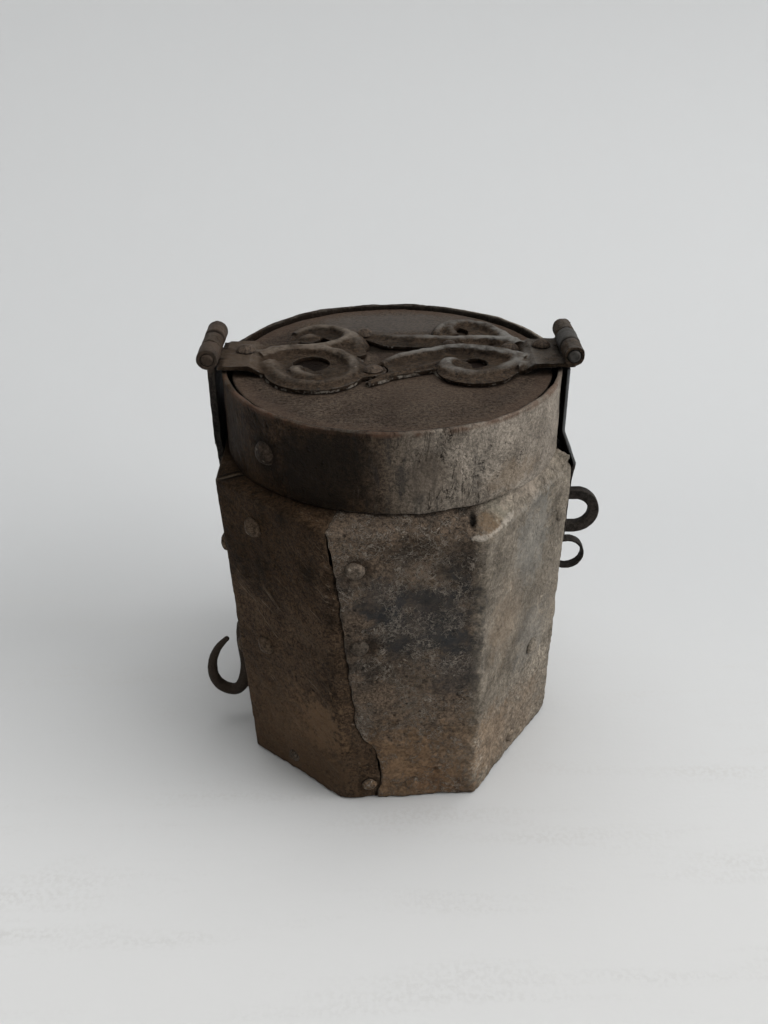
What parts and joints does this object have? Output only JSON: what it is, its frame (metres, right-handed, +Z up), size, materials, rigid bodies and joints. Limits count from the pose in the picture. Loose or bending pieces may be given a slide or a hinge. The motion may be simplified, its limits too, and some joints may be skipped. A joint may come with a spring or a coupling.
{
  "type": "strongbox",
  "caption": "Eight-sided riveted iron strongbox with a round collar, a flat hinged lid under scrolled straps, a forked hasp over a staple, and a side hook.",
  "frame": {"origin": "centre of the body's foot, on the floor, under the middle of the eight-sided bottom", "axes": "+Z up, +X toward the hasp and staple, -Y toward the front seen in the picture"},
  "size_m": [0.2123, 0.1842, 0.2219],
  "materials": {
    "body_sheet": "dark brown pitted iron",
    "collar_sheet": "brown worn iron",
    "lid_sheet": "grey-brown dull iron",
    "scroll_straps": "grey-brown hammered iron",
    "rivets": "dark hammered iron",
    "forged_bar": "near-black forged iron"
  },
  "bodies": {
    "body": {"plate_front": "body_sheet", "plate_rear": "body_sheet", "plate_left_front": "body_sheet", "plate_left_rear": "body_sheet", "plate_left": "body_sheet", "plate_right": "body_sheet", "corner_angle_front": "body_sheet", "corner_angle_rear": "body_sheet", "bottom_plate": "body_sheet", "collar_band": "collar_sheet", "collar_rivets": "rivets", "seam_rivets_front": "rivets", "seam_rivets_rear": "rivets", "angle_rivets_front": "rivets", "angle_rivets_rear": "rivets", "bottom_rivets_front": "rivets", "bottom_rivets_rear": "rivets", "hinge_leaf": "forged_bar", "hinge_leaf_rivets": "rivets", "hinge_pin": "forged_bar", "side_hook": "forged_bar", "hook_rivet": "rivets", "lock_staple": "forged_bar"},
    "lid": {"lid_plate": "lid_sheet", "scroll_strap_left": "scroll_straps", "scroll_strap_right": "scroll_straps", "lid_rivets": "rivets", "hasp_pin": "forged_bar"},
    "hasp": {"hasp_strap": "forged_bar"}
  },
  "joints": [
    {"name": "lid_hinge", "type": "hinge", "parent": "body", "child": "lid", "pos_m": [-0.0916, 0, 0.2168], "axis": [0, -1, 0], "range_deg": [0, 180]},
    {"name": "hasp_hinge", "type": "hinge", "parent": "lid", "child": "hasp", "pos_m": [0.0792, 0, 0.2168], "axis": [0, -1, 0], "range_deg": [0, 180]}
  ]
}
